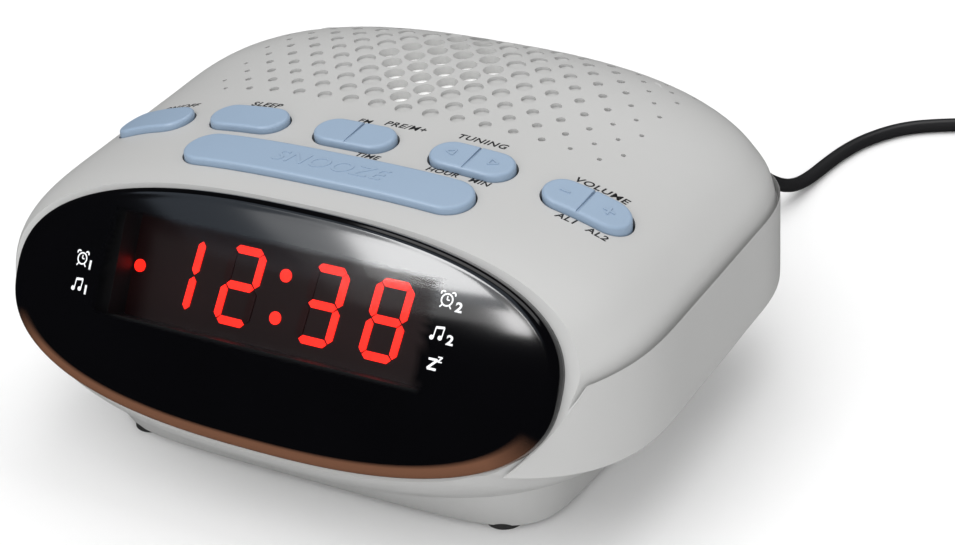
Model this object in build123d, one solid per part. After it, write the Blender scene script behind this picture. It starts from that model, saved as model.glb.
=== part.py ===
from build123d import *
import math
import os

# Clock radio. Millimetres, +Z up, +Y towards the back, the display faces -Y.
# Origin: centre of the case's plan box, on the surface the radio stands on.

os.makedirs("parts", exist_ok=True)

# ---------------------------------------------------------------- dimensions
CASE_HALF_W = 92.7        # half width of the case at the seam
CASE_EXP = 2.7            # fullness of the arched upper case and of its plan
BOWL_EXP = 2.03           # fullness of the lower case, nearly elliptical
FRONT_Y, FRONT_LEN = 37.0, 56.3   # where the nose starts to close, and how long it is
REAR_Y, REAR_LEN = 86.0, 52.1     # the same at the back
BACK_Y = 132.0            # flat rear panel
SEAM_Z = 41.0             # joint between upper and lower case
ARCH_H = 38.3             # height of the upper case over the seam
ARCH_RISE = 0.046         # the top climbs gently towards the back
BOWL_H = 41.7             # depth of the lower bowl if it were complete
BOWL_CUT_Z = 6.5          # the bowl ends inside the foot here
WALL = 2.2

FACE_TILT = 31.05         # lean of the front face, degrees from vertical
FACE_Y, FACE_Z = 2.4, 49.66
LENS_A, LENS_B, LENS_EXP = 78.7, 30.4, 2.47
LENS_WALL = 2.2

FOOT_HALF_W = 67.3
FOOT_FRONT, FOOT_BACK = 8.2, 118.0
FOOT_TOP_Z = 17.0
FLOOR_Z = 1.0             # underside of the foot, standing on the rubber pads
FLOOR_T = 2.4

BTN_L, BTN_W = 23.2, 11.2
BTN_PROUD = 1.9           # how far buttons stand above the case
BTN_Y = 50.6
BTN_X = {"on_off_button": -66.0, "sleep_button": -36.2, "preset_rocker": -3.6,
         "tuning_rocker": 30.6, "volume_rocker": 63.0}
BTN_DY = {"on_off_button": -1.6, "volume_rocker": -1.6}
SNOOZE = (-2.2, 33.6, 84.0, 13.6)   # x, y, length, width
BTN_GAP = 0.45
ROCK_GAP = 0.6
KEY_BOARD_Z = 56.0        # top of the key board
SWITCH_TOP = 4.6          # height of a tact switch

HOLE_PITCH_X, HOLE_PITCH_Y = 8.1, 5.4
HOLE_Y0 = 68.8
HOLE_ROWS = 11
GRILLE_C = (-4.0, 95.6)   # the largest dimples of the hole pattern gather round this point
SPEAKER = (-4.0, 94.0)
SPEAKER_R = 26.5

CORD_D = 4.2
CORD_EXIT = (44.0, 33.0)  # x, z in the rear panel

SHIFT_Y = -57.94          # brings the case's plan centre to the origin

FRONT_CUT = -17.5         # first section of the case lofts
PARTS = {}


def keep(name, shape):
    PARTS[name] = shape


def keep_group(name, solids):
    """Identical or related pieces that share one node, as separate solids."""
    PARTS[name] = list(solids)


# ---------------------------------------------------------------- case form
def closing(y, inset=0.0):
    """Scale of the case's cross-section at depth y."""
    if y < FRONT_Y:
        q = (FRONT_Y - y) / (FRONT_LEN - inset)
    elif y > REAR_Y:
        q = (y - REAR_Y) / (REAR_LEN - inset)
    else:
        return 1.0
    return max(0.0, 1.0 - q ** CASE_EXP) ** (1 / CASE_EXP)


def arch_height(y, grow=0.0):
    h = ARCH_H + grow
    return h / (1 - ARCH_RISE * (y - 69.4) / ARCH_H)


def top_z(x, y, grow=0.0):
    """Height of the upper case's surface above a point of the plan."""
    q = 0.0
    if y < FRONT_Y:
        q = (FRONT_Y - y) / (FRONT_LEN + grow)
    elif y > REAR_Y:
        q = (y - REAR_Y) / (REAR_LEN + grow)
    v = 1 - (abs(x) / (CASE_HALF_W + grow)) ** CASE_EXP - q ** CASE_EXP
    return SEAM_Z + arch_height(y, grow) * max(v, 0) ** (1 / CASE_EXP)


def arch_section(y, grow=0.0):
    s = closing(y, -grow)
    a, h = (CASE_HALF_W + grow) * s, arch_height(y, grow) * s
    pts = []
    n = 12
    for i in range(-n, n + 1):
        th = math.pi / 2 * (1 - i / n)
        c, d = math.cos(th), math.sin(th)
        x = a * math.copysign(abs(c) ** (2 / CASE_EXP), c)
        z = h * abs(d) ** (2 / CASE_EXP)
        pts.append((x, y, SEAM_Z + z))
    pts[0] = (-a, y, SEAM_Z)
    pts[-1] = (a, y, SEAM_Z)
    arc = Spline(*pts, tangents=[(0, 0, 1), (0, 0, -1)])
    return Face(Wire([arc, Line(pts[-1], pts[0])]))


def bowl_section(y, grow=0.0):
    q = 0.0
    if y < FRONT_Y:
        q = (FRONT_Y - y) / (FRONT_LEN + grow)
    elif y > REAR_Y:
        q = (y - REAR_Y) / (REAR_LEN + grow)
    a = (CASE_HALF_W + grow) * (1 - q ** CASE_EXP) ** (1 / CASE_EXP)
    hb = BOWL_H + grow
    pts = []
    n = 12
    for i in range(-n, n + 1):
        x = a * math.sin(math.pi / 2 * i / n)
        r = (abs(x / (CASE_HALF_W + grow)) ** CASE_EXP + q ** CASE_EXP) ** (1 / CASE_EXP)
        z = hb * max(0.0, 1 - min(r, 1.0) ** BOWL_EXP) ** (1 / BOWL_EXP)
        pts.append((x, y, SEAM_Z - z))
    pts[0] = (-a, y, SEAM_Z)
    pts[-1] = (a, y, SEAM_Z)
    arc = Spline(*pts, tangents=[(0, 0, -1), (0, 0, 1)])
    return Face(Wire([arc, Line(pts[-1], pts[0])]))


def stations(y0, y1):
    base = [-17.5, -14, -10, -5, 1, 8, 16, 25, 37, 53, 70, 86, 97, 106, 114, 121, 127, 132]
    ys = [y0] + [y for y in base if y0 + 1.5 < y < y1 - 1.5] + [y1]
    return ys


def arch_solid(grow=0.0, y0=FRONT_CUT, y1=BACK_Y):
    return loft([arch_section(y, grow) for y in stations(y0, y1)])


def bowl_solid(grow=0.0, y0=FRONT_CUT, y1=BACK_Y):
    return loft([bowl_section(y, grow) for y in stations(y0, y1)])


# the front face's own frame: x right, y up the slope, z out of the face
T = math.radians(FACE_TILT)
face = Plane(origin=(0, FACE_Y, FACE_Z), x_dir=(1, 0, 0), z_dir=(0, -math.cos(T), math.sin(T)))


def on_face(shape):
    return face * shape


def ahead(offset):
    """Everything in front of the plane that lies offset ahead of the face."""
    return on_face(Pos(0, 0, offset + 100) * Box(400, 400, 200))


def oval(a, b, expo=LENS_EXP, n=36):
    pts = []
    for i in range(n):
        th = 2 * math.pi * i / n
        c, s = math.cos(th), math.sin(th)
        pts.append((a * math.copysign(abs(c) ** (2 / expo), c), b * math.copysign(abs(s) ** (2 / expo), s)))
    return Face(Wire([Spline(*pts, periodic=True)]))


def oval_prism(a, b, z0, z1):
    return on_face(Pos(0, 0, z0) * extrude(oval(a, b), z1 - z0))


def block(x0, x1, y0, y1, z0, z1):
    return Pos((x0 + x1) / 2, (y0 + y1) / 2, (z0 + z1) / 2) * Box(x1 - x0, y1 - y0, z1 - z0)


def rod(x, y, z0, z1, r):
    return Pos(x, y, (z0 + z1) / 2) * Cylinder(r, z1 - z0)


def stadium(x, y, length, width, z0, z1):
    return Pos(x, y, z0) * extrude(SlotOverall(length, width), z1 - z0)


# ---------------------------------------------------------------- hole grid
def holes():
    out = []
    for r in range(HOLE_ROWS + 1):
        half = 7.0 if r % 2 == 0 else 7.5
        u = -half
        while u <= half + 1e-6:
            x, y = u * HOLE_PITCH_X, HOLE_Y0 + r * HOLE_PITCH_Y
            d = math.hypot(x - GRILLE_C[0], y - GRILLE_C[1])
            through = abs(u + 0.5) + abs(r - 5) * 0.5 <= 2.01 and abs(r - 5) <= 4
            dia = 5.7 if through else max(1.3, min(5.3, 5.7 * (1 - (d - 18) / 52)))
            out.append((x, y, dia, through))
            u += 1.0
    return out


# ---------------------------------------------------------------- upper case
arch_out = arch_solid()
arch_in = arch_solid(-WALL, FRONT_CUT + 4.5, BACK_Y - WALL)
upper = arch_out - ahead(0)
cavity = arch_in - ahead(-WALL)
upper = upper - cavity
# window in the front face under the lens
window = oval_prism(LENS_A - 5.5, LENS_B - 4.5, -8, 4)
upper = upper - window

top_cuts = []
for name, x in BTN_X.items():
    g = ROCK_GAP if "rocker" in name else BTN_GAP
    top_cuts.append(stadium(x, BTN_Y + BTN_DY.get(name, 0), BTN_L + 2 * g, BTN_W + 2 * g, 58, 95))
top_cuts.append(stadium(SNOOZE[0], SNOOZE[1], SNOOZE[2] + 2 * BTN_GAP, SNOOZE[3] + 2 * BTN_GAP, 60, 95))
for x, y, dia, through in holes():
    zs = top_z(x, y)
    if through:
        top_cuts.append(rod(x, y, zs - 8, zs + 4, dia / 2))
    else:
        top_cuts.append(rod(x, y, zs - 0.9, zs + 4, dia / 2))
upper = upper - top_cuts

# screw bosses under the roof, for the case screws and the speaker
SCREWS = [(-57, 26), (57, 26), (-50, 111), (50, 111)]
bosses = []
for x, y in SCREWS:
    bosses.append(rod(x, y, SEAM_Z + 0.0, top_z(x, y) - 1.2, 4.0) - rod(x, y, SEAM_Z - 1, SEAM_Z + 16, 1.3))
SPK_Z = 72.4              # underside of the roof bosses that the speaker hangs from
SPK_SCREWS = [(SPEAKER[0] + 31.0 * math.cos(a), SPEAKER[1] + 31.0 * math.sin(a))
              for a in (math.radians(k) for k in (15, 165, 225, 315))]
for x, y in SPK_SCREWS:
    bosses.append(rod(x, y, SPK_Z, top_z(x, y) - 1.2, 3.0) - rod(x, y, SPK_Z - 1, SPK_Z + 2.4, 1.05))
# posts that carry the key board
KEY_POSTS = [(-52, 61.0), (13.5, 61.0), (48, 61.0)]
for x, y in KEY_POSTS:
    bosses.append(rod(x, y, KEY_BOARD_Z, top_z(x, y) - 1.2, 2.6) - rod(x, y, KEY_BOARD_Z - 1, KEY_BOARD_Z + 7, 1.05))
for b in bosses:
    upper = upper + b
keep("top_housing", upper)

# ---------------------------------------------------------------- lower case
bowl_out = bowl_solid()
bowl_in = bowl_solid(-WALL, FRONT_CUT + 4.5, BACK_Y - WALL)


def foot_section(z, half_w, y0, y1, bow, expo=7.0, n=48):
    """Rounded rectangle, with its front edge bowed forward."""
    yc, b = (y0 + y1) / 2, (y1 - y0) / 2
    pts = []
    for i in range(n):
        th = 2 * math.pi * i / n
        c, s = math.cos(th), math.sin(th)
        x = half_w * math.copysign(abs(c) ** (2 / expo), c)
        y = b * math.copysign(abs(s) ** (2 / expo), s)
        if y < 0:
            y -= bow * (1 - (x / half_w) ** 2) * min(1.0, -y / b)
        pts.append((x, yc + y, z))
    return Face(Wire([Spline(*pts, periodic=True)]))


def foot_solid(inset, z0, z1):
    secs = []
    for z in (z0, (z0 + z1) / 2, z1):
        k = (z - FLOOR_Z) / (FOOT_TOP_Z - FLOOR_Z)
        secs.append(foot_section(z, FOOT_HALF_W + 1.2 * k - inset, FOOT_FRONT - 7.5 * k + inset,
                                 FOOT_BACK + 3.0 * k - inset, 1.0 + 5.5 * k))
    return loft(secs)


foot_out = foot_solid(0.0, FLOOR_Z, FOOT_TOP_Z)
foot_in = foot_solid(WALL, FLOOR_Z + FLOOR_T, FOOT_TOP_Z)
above = block(-120, 120, -60, 200, BOWL_CUT_Z, 100)
above_in = block(-120, 120, -60, 200, BOWL_CUT_Z + 1.0, 100)
lower = (bowl_out & above) + foot_out
lower = lower - ahead(0)
inner = (bowl_in & above_in) - ahead(-WALL)
lower = lower - inner - (foot_in - ahead(-WALL))
lower = lower - window

# bay for the backup battery, open through the floor
BAY = (-48.0, 6.0, 66.0, 94.0)      # x0, x1, y0, y1 of the pocket
BAY_TOP = 22.5
bay_box = block(BAY[0] - 1.6, BAY[1] + 1.6, BAY[2] - 1.6, BAY[3] + 1.6, FLOOR_Z + 0.4, BAY_TOP + 1.6)
lower = lower + bay_box
lower = lower - block(BAY[0], BAY[1], BAY[2], BAY[3], -1, BAY_TOP)
# recess for the sliding door, longer than the door by its travel
DOOR_TRAVEL = 8.0
DOOR = (BAY[0] - 3.0, BAY[1] + 3.0, BAY[2] - 3.0, BAY[3] + 3.0)
DOOR_GAP = 0.35
lower = lower - block(DOOR[0] - DOOR_GAP, DOOR[1] + DOOR_GAP, DOOR[2] - DOOR_GAP,
                      DOOR[3] + DOOR_TRAVEL + DOOR_GAP, -1, FLOOR_Z + 1.7)
# screw posts and their counterbored holes
for x, y in SCREWS:
    lower = lower + rod(x, y, FLOOR_Z + 1.0, SEAM_Z - 0.0, 4.4)
for x, y in SCREWS:
    lower = lower - rod(x, y, -1, SEAM_Z + 1, 1.65) - rod(x, y, -1, 12.0, 3.1)
# pad recesses
PADS = [(-54, 14.5), (54, 14.5), (-57, 92), (57, 92)]
for x, y in PADS:
    lower = lower - rod(x, y, -1, FLOOR_Z + 0.8, 5.0)
# cord hole in the rear panel
lower = lower - Pos(CORD_EXIT[0], BACK_Y, CORD_EXIT[1]) * Rot(90, 0, 0) * Cylinder(3.6, 12)
# board standoffs
BOARD_Z = 27.0            # underside of the main board
STANDOFFS = [(-38, 22), (38, 22), (-38, 56), (38, 56)]
for x, y in STANDOFFS:
    lower = lower + (rod(x, y, FLOOR_Z + 1.0, BOARD_Z, 3.0))
for x, y in STANDOFFS:
    lower = lower - rod(x, y, BOARD_Z - 8, BOARD_Z + 1, 1.05)
# transformer posts
TX = (34.0, 80.0)         # centre of the transformer
TX_Z = FLOOR_Z + FLOOR_T + 3.0   # the clamp's feet stand on two posts
for s in (-21.5, 21.5):
    lower = lower + rod(TX[0] + s, TX[1], FLOOR_Z + 1.0, TX_Z, 3.4)
    lower = lower - rod(TX[0] + s, TX[1], FLOOR_Z + 1.0, TX_Z + 1, 1.3)

keep("bottom_housing", lower)

# ---------------------------------------------------------------- pads, screws
pads = [rod(x, y, 0, FLOOR_Z + 0.8, 5.0) for x, y in PADS]
keep_group("rubber_feet", pads)


def screw(x, y, z_head, length, r_head, r_shank, up=True):
    """Pan head with a cross recess; the shank points up, or down if up is False."""
    s = 1 if up else -1
    head_t = 1.8 if r_head > 2.2 else 1.2
    z1 = z_head + s * head_t
    head = rod(x, y, min(z_head, z1), max(z_head, z1), r_head)
    z2 = z1 + s * length
    shank = rod(x, y, min(z1, z2), max(z1, z2), r_shank)
    depth = head_t * 0.6
    za, zb = sorted((z_head - s * 0.5, z_head + s * depth))
    slot = block(x - r_head * 0.6, x + r_head * 0.6, y - 0.35, y + 0.35, za, zb)
    slot2 = block(x - 0.35, x + 0.35, y - r_head * 0.6, y + r_head * 0.6, za, zb)
    return (head + shank) - slot - slot2


keep_group("housing_screws", [screw(x, y, 12.0 - 1.8, SEAM_Z + 11 - 12.0, 2.8, 1.3) for x, y in SCREWS])

# ---------------------------------------------------------------- battery and its door
bx, by = (BAY[0] + BAY[1]) / 2, (BAY[2] + BAY[3]) / 2
door = block(DOOR[0], DOOR[1], DOOR[2], DOOR[3], FLOOR_Z + 0.15, FLOOR_Z + 1.45)
for k in range(4):
    door = door - block(bx - 7, bx + 7, DOOR[3] - 6 - 2.4 * k - 0.5, DOOR[3] - 6 - 2.4 * k + 0.5, 0, FLOOR_Z + 0.55)
keep("battery_door", door)
bat = block(bx - 24.2, bx + 21.5, by - 13.1, by + 13.1, 3.6, 20.9)
keep("backup_battery", fillet(bat.edges().filter_by(Axis.X), 1.2))
snap = block(bx + 24.2, bx + 25.8, by - 12, by + 12, 5.0, 19.5)
st1 = Pos(bx + 22.9, by - 6.3, 12.2) * Rot(0, 90, 0) * Cylinder(2.8, 2.6)
st2 = Pos(bx + 22.9, by + 6.3, 12.2) * Rot(0, 90, 0) * Cylinder(3.6, 2.6)
keep("battery_snap", snap + st1 + st2)

# ---------------------------------------------------------------- lens and display
def dome(a, b, edge_z, rim, rise, z0):
    """Oval cap: a straight side, a rounded shoulder, then a low dome."""
    secs = [(a, b, z0), (a, b, edge_z), (a - 0.35 * rim, b - 0.35 * rim, edge_z + 0.62 * rim),
            (a - rim, b - rim, edge_z + rim)]
    body = on_face(Pos(0, 0, z0) * extrude(oval(a, b), edge_z - z0))
    top = [Pos(0, 0, z) * oval(p, q) for p, q, z in secs[1:]]
    body = body + on_face(loft(top))
    caps = []
    for f in (1.0, 0.86, 0.68, 0.48, 0.26):
        z = edge_z + rim + rise * (1 - f ** 2)
        caps.append(Pos(0, 0, z) * oval((a - rim) * f, (b - rim) * f))
    return body + on_face(loft(caps))


LENS_EDGE, LENS_RIM, LENS_RISE = 2.2, 2.4, 4.2
lens = dome(LENS_A, LENS_B, LENS_EDGE, LENS_RIM, LENS_RISE, 0.0)
lens = lens - dome(LENS_A - LENS_WALL, LENS_B - LENS_WALL, LENS_EDGE - 0.4, LENS_RIM - 0.4, LENS_RISE - 0.2, -1.0)
keep("lens", lens)

# black frame behind the lens, plugged into the window of the front face
WIN = (-49.5, 44.5, -6.2, 21.0)     # display window in the face's own axes
MOD_Z = -6.0              # front of the module
MOD_T = 7.0
mask = oval_prism(LENS_A - 5.9, LENS_B - 4.9, -3.4, -0.4) + oval_prism(LENS_A - 2.9, LENS_B - 2.9, 0.15, 1.2) \
    + oval_prism(LENS_A - 5.9, LENS_B - 4.9, -0.5, 0.3)
mask = mask + on_face(Pos((WIN[0] + WIN[1]) / 2, (WIN[2] + WIN[3]) / 2, (MOD_Z - 3.0) / 2)
                      * Box(WIN[1] - WIN[0] + 3, WIN[3] - WIN[2] + 3, -3.0 - MOD_Z))
mask = mask - on_face(Pos((WIN[0] + WIN[1]) / 2, (WIN[2] + WIN[3]) / 2, 0) * Box(WIN[1] - WIN[0], WIN[3] - WIN[2], 20))
keep("display_mask", mask)

# LED module: dark reflector block with the segments let into its front
mod = on_face(Pos((WIN[0] + WIN[1]) / 2, (WIN[2] + WIN[3]) / 2, MOD_Z - MOD_T / 2)
              * Box(WIN[1] - WIN[0] + 2, WIN[3] - WIN[2] + 2, MOD_T))
DIGIT_H, DIGIT_W, SLANT, SEG = 18.4, 8.7, 0.102, 1.85
DIG_X = [-40.1, -21.7, 2.8, 21.2]   # lower left junction of each digit
DIG_Y = -1.7


def quad(p, q, w, slant_at):
    """A bar with pointed ends between two points of the face."""
    (x0, y0), (x1, y1) = p, q
    L = math.hypot(x1 - x0, y1 - y0)
    ux, uy = (x1 - x0) / L, (y1 - y0) / L
    nx, ny = -uy, ux
    g, h = 0.45, w / 2
    pts = [(x0 + ux * g, y0 + uy * g), (x0 + ux * (g + h) + nx * h, y0 + uy * (g + h) + ny * h),
           (x1 - ux * (g + h) + nx * h, y1 - uy * (g + h) + ny * h), (x1 - ux * g, y1 - uy * g),
           (x1 - ux * (g + h) - nx * h, y1 - uy * (g + h) - ny * h), (x0 + ux * (g + h) - nx * h, y0 + uy * (g + h) - ny * h)]
    return Face(Wire([Line(pts[i], pts[(i + 1) % 6]) for i in range(6)]))


def segment(x, name):
    def at(cx, cy):
        return (x + cx * DIGIT_W + SLANT * cy * DIGIT_H, DIG_Y + cy * DIGIT_H)
    ends = {"a": ((0, 1), (1, 1)), "b": ((1, 1), (1, .5)), "c": ((1, .5), (1, 0)), "d": ((0, 0), (1, 0)),
            "e": ((0, .5), (0, 0)), "f": ((0, 1), (0, .5)), "g": ((0, .5), (1, .5))}[name]
    return quad(at(*ends[0]), at(*ends[1]), SEG, 0)


SHOWN = ["bc", "abged", "abgcd", "abcdefg"]
lit, dark = [], []
for x, on in zip(DIG_X, SHOWN):
    for s in "abcdefg":
        if x == DIG_X[0] and s not in "bc":
            continue
        solid = on_face(Pos(0, 0, MOD_Z - 1.0) * extrude(segment(x, s), 1.2))
        (lit if s in on else dark).append(solid)
COLON = [(-3.84, 12.72), (-4.6, 1.81)]
AM_PM = [(-47.3, 6.85)]
for px, py in COLON + AM_PM:
    lit.append(on_face(Pos(px, py, MOD_Z - 0.4) * Cylinder(1.6, 1.2)))
for solid in lit + dark:
    mod = mod - solid
keep("display_module", mod)
keep_group("led_digits", lit)
keep_group("dark_segments", dark)
board = on_face(Pos((WIN[0] + WIN[1]) / 2, (WIN[2] + WIN[3]) / 2, MOD_Z - MOD_T - 0.8)
                * Box(WIN[1] - WIN[0] + 6, WIN[3] - WIN[2] + 2, 1.6))
keep("display_board", board)

# ---------------------------------------------------------------- buttons
def cap(x, y, length, width, z0):
    column = stadium(x, y, length, width, z0, 100)
    c = column & arch_proud
    try:
        top = [e for e in c.edges() if e.center().Z > z0 + 1.5 and abs(e.tangent_at(0.5).Z) < 0.9]
        c = fillet(top, 0.9)
    except Exception:
        pass
    return c


arch_proud = arch_solid(BTN_PROUD, 0.0, 110.0)
stems = {}
for name, x in BTN_X.items():
    y = BTN_Y + BTN_DY.get(name, 0)
    zc = top_z(x, y)
    low = min(top_z(x - BTN_L / 2, y), top_z(x + BTN_L / 2, y), top_z(x, y - BTN_W / 2)) - WALL
    z0 = low - 1.6
    c = cap(x, y, BTN_L, BTN_W, z0)
    rocker = "rocker" in name
    # flange under the roof keeps the button in
    fl = 1.0 if not rocker else 1.4
    fz = low - (1.4 if not rocker else 2.4)
    flange = stadium(x, y, BTN_L + (2.2 if not rocker else 1.6), BTN_W + 2.4, fz - 1.4, fz - 0.2)
    c = c + stadium(x, y, BTN_L, BTN_W, fz - 0.3, z0 + 0.2) + flange if fz - 0.3 < z0 else c + flange
    tips = (-7.5, 7.5) if rocker else (0.0,)
    gap = 1.0 if rocker else 1.3
    for dx in tips:
        c = c + rod(x + dx, y, KEY_BOARD_Z + SWITCH_TOP + gap, fz, 2.0)
    if rocker:
        # groove across the middle between its two halves
        c = c - block(x - 0.4, x + 0.4, y - 8, y + 8, zc + BTN_PROUD - 0.5, zc + 12)
    keep(name, c)
    stems[name] = (x, y, zc, tips, fz)

sx, sy, sl, sw = SNOOZE
s_low = min(top_z(sx - sl / 2, sy), top_z(sx, sy - sw / 2)) - WALL
bar = cap(sx, sy, sl, sw, s_low - 1.4) + stadium(sx, sy, sl + 2.2, sw + 2.4, s_low - 2.8, s_low - 1.3)
for dx in (-22.0, 22.0):
    bar = bar + rod(sx + dx, sy, KEY_BOARD_Z + SWITCH_TOP + 1.3, s_low - 2.7, 2.2)
keep("snooze_bar", bar)

# ---------------------------------------------------------------- key board and switches
kb = block(-77, 77, 30.2, 64.5, KEY_BOARD_Z - 1.6, KEY_BOARD_Z)
kb = kb & arch_solid(-WALL - 1.2, 0.0, 110.0)
for x, y in KEY_POSTS:
    kb = kb - rod(x, y, KEY_BOARD_Z - 3, KEY_BOARD_Z + 1, 1.3)
keep("key_board", kb)


def tact(x, y):
    b = block(x - 3, x + 3, y - 3, y + 3, KEY_BOARD_Z, KEY_BOARD_Z + 3.5)
    return b + rod(x, y, KEY_BOARD_Z + 3.4, KEY_BOARD_Z + SWITCH_TOP, 1.7)


sw_list = []
for name, (x, y, zc, tips, fz) in stems.items():
    for dx in tips:
        sw_list.append(tact(x + dx, y))
for dx in (-22.0, 22.0):
    sw_list.append(tact(sx + dx, sy))
keep_group("tact_switches", sw_list)

# ---------------------------------------------------------------- main board
mb = block(-48, 48, 14, 60, BOARD_Z, BOARD_Z + 1.6)
for x, y in STANDOFFS:
    mb = mb - rod(x, y, BOARD_Z - 1, BOARD_Z + 3, 1.3)
keep("main_board", mb)
chips = [block(-12, 12, 32, 40, BOARD_Z + 1.6, BOARD_Z + 5.0), block(20, 28, 26, 36, BOARD_Z + 1.6, BOARD_Z + 4.2)]
keep_group("board_chips", chips)
caps = [rod(-30, 36, BOARD_Z + 1.6, BOARD_Z + 17.0, 5.0), rod(-30, 48, BOARD_Z + 1.6, BOARD_Z + 13.0, 4.0),
        rod(34, 44, BOARD_Z + 1.6, BOARD_Z + 12.6, 3.15), rod(-20, 20.5, BOARD_Z + 1.6, BOARD_Z + 8.6, 2.5)]
keep_group("capacitors", caps)
scr = [screw(x, y, BOARD_Z + 1.6 + 1.2, 6.5, 2.2, 1.05, up=False) for x, y in STANDOFFS]
scr += [screw(x, y, KEY_BOARD_Z - 1.6 - 1.2, 6.0, 2.2, 1.05, up=True) for x, y in KEY_POSTS]
keep_group("board_screws", scr)

# ribbon from the key board down to the main board
rib_y = 58.6
pts = [(rib_y, KEY_BOARD_Z - 1.6), (rib_y, KEY_BOARD_Z - 4.6), (rib_y - 3.4, KEY_BOARD_Z - 9), (rib_y - 3.4, BOARD_Z + 1.6),
       (rib_y - 4.2, BOARD_Z + 1.6), (rib_y - 4.2, KEY_BOARD_Z - 9.3), (rib_y - 0.8, KEY_BOARD_Z - 4.9), (rib_y - 0.8, KEY_BOARD_Z - 1.6)]
prof = Face(Wire([Line((0, *pts[i]), (0, *pts[(i + 1) % 8])) for i in range(8)]))
keep("ribbon_cable", Pos(-22, 0, 0) * extrude(prof, 14, dir=(1, 0, 0)))

# ---------------------------------------------------------------- speaker
px, py = SPEAKER
flange_top = SPK_Z
basket = rod(px, py, SPK_Z - 1.4, SPK_Z, SPEAKER_R) - rod(px, py, SPK_Z - 3, SPK_Z + 1, 24.5)
ears = [Pos(x, y, SPK_Z - 0.7) * Cylinder(3.4, 1.4) for x, y in SPK_SCREWS]
for x, y in SPK_SCREWS:
    mx, my = (x + px) / 2 + (x - px) * 0.42, (y + py) / 2 + (y - py) * 0.42
    ears.append(Pos(mx, my, SPK_Z - 0.7) * Rot(0, 0, math.degrees(math.atan2(y - py, x - px))) * Box(7.6, 6.8, 1.4))
for e in ears:
    basket = basket + e
for x, y in SPK_SCREWS:
    basket = basket - rod(x, y, SPK_Z - 3, SPK_Z + 1, 1.3)
cone_wall = Pos(px, py, SPK_Z - 7.0) * (Cone(16.5, 25.9, 11.2) - Cone(15.1, 24.5, 11.2))
basket = basket + cone_wall + (rod(px, py, SPK_Z - 14.0, SPK_Z - 12.4, 16.5) - rod(px, py, SPK_Z - 15, SPK_Z - 11, 8.0))
for k in range(4):
    a = 45 + 90 * k
    basket = basket - Pos(px, py, SPK_Z - 7.6) * Rot(0, 0, a) * Pos(22, 0, 0) * Box(16, 9, 6.4)
keep("speaker_frame", basket)
mag = rod(px, py, SPK_Z - 21.0, SPK_Z - 14.0, 14.0)
keep("speaker_magnet", mag)
paper = Pos(px, py, SPK_Z - 5.6) * (Cone(8.0, 23.6, 8.0) - Cone(7.4, 23.0, 8.0)) \
    + Pos(px, py, SPK_Z - 1.0) * (Cylinder(24.4, 0.8) - Cylinder(22.6, 0.8)) \
    + Pos(px, py, SPK_Z - 9.4) * Cylinder(8.0, 1.2)
keep("speaker_cone", paper)
cloth = rod(px, py, SPK_Z, SPK_Z + 0.5, 25.5)
for x, y in SPK_SCREWS:
    cloth = cloth - rod(x, y, SPK_Z - 1, SPK_Z + 2, 3.4)
keep("speaker_cloth", cloth)
keep_group("speaker_screws", [screw(x, y, SPK_Z - 1.4 - 1.2, 3.4, 2.2, 1.05) for x, y in SPK_SCREWS])

# ---------------------------------------------------------------- transformer
tx, ty = TX               # laminated core 35 x 29, bobbin through the middle
core = block(tx - 17.5, tx + 17.5, ty - 9.0, ty + 9.0, TX_Z + 1.0, TX_Z + 30.0)
core = core - block(tx - 11.5, tx - 6.0, ty - 12, ty + 12, TX_Z + 7.0, TX_Z + 24.0) \
    - block(tx + 6.0, tx + 11.5, ty - 12, ty + 12, TX_Z + 7.0, TX_Z + 24.0)
clamp = block(tx - 24.5, tx + 24.5, ty - 6.0, ty + 6.0, TX_Z, TX_Z + 1.0)
for s in (-21.5, 21.5):
    clamp = clamp - rod(tx + s, ty, TX_Z - 1, TX_Z + 2, 1.6)
keep("transformer_core", core + clamp)
wind = block(tx - 11.3, tx + 11.3, ty - 13.5, ty + 13.5, TX_Z + 7.2, TX_Z + 23.8)
wind = fillet(wind.edges().filter_by(Axis.Z), 2.5)
wind = wind - block(tx - 6.0, tx + 6.0, ty - 9.0, ty + 9.0, TX_Z + 1, TX_Z + 30) \
    - block(tx - 40, tx - 11.5, ty - 9, ty + 9, TX_Z, TX_Z + 40)
wind = wind & (block(tx - 11.3, tx - 6.0, ty - 30, ty + 30, 0, 60) + block(tx + 6.0, tx + 11.3, ty - 30, ty + 30, 0, 60)
               + block(tx - 11.3, tx + 11.3, ty - 30, ty - 9.1, 0, 60) + block(tx - 11.3, tx + 11.3, ty + 9.1, ty + 30, 0, 60))
keep("transformer_winding", wind)
keep_group("transformer_screws", [screw(tx + s, ty, TX_Z + 1.0 + 1.8, 4.2, 2.6, 1.3, up=False) for s in (-21.5, 21.5)])

# ---------------------------------------------------------------- mains lead
ex, ez = CORD_EXIT
R = CORD_D / 2
RELIEF_LEN = 20.0
# strain relief moulded onto the lead: tapered sleeve, collar in the panel's hole, head inside
relief = Pos(ex, BACK_Y, ez) * Rot(-90, 0, 0) * Pos(0, 0, RELIEF_LEN / 2) * Cone(4.6, 2.8, RELIEF_LEN)
relief = relief + Pos(ex, BACK_Y - WALL / 2, ez) * Rot(90, 0, 0) * Cylinder(3.55, WALL)
relief = relief + Pos(ex, BACK_Y - WALL - 1.5, ez) * Rot(90, 0, 0) * Cylinder(5.0, 3.0)
for k in range(3):
    yk = BACK_Y + 5.5 + 4.5 * k
    relief = relief - (Pos(ex, yk, ez) * Rot(90, 0, 0) * (Cylinder(6, 1.3) - Cylinder(2.7, 1.3)))
keep("strain_relief", relief)

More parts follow.
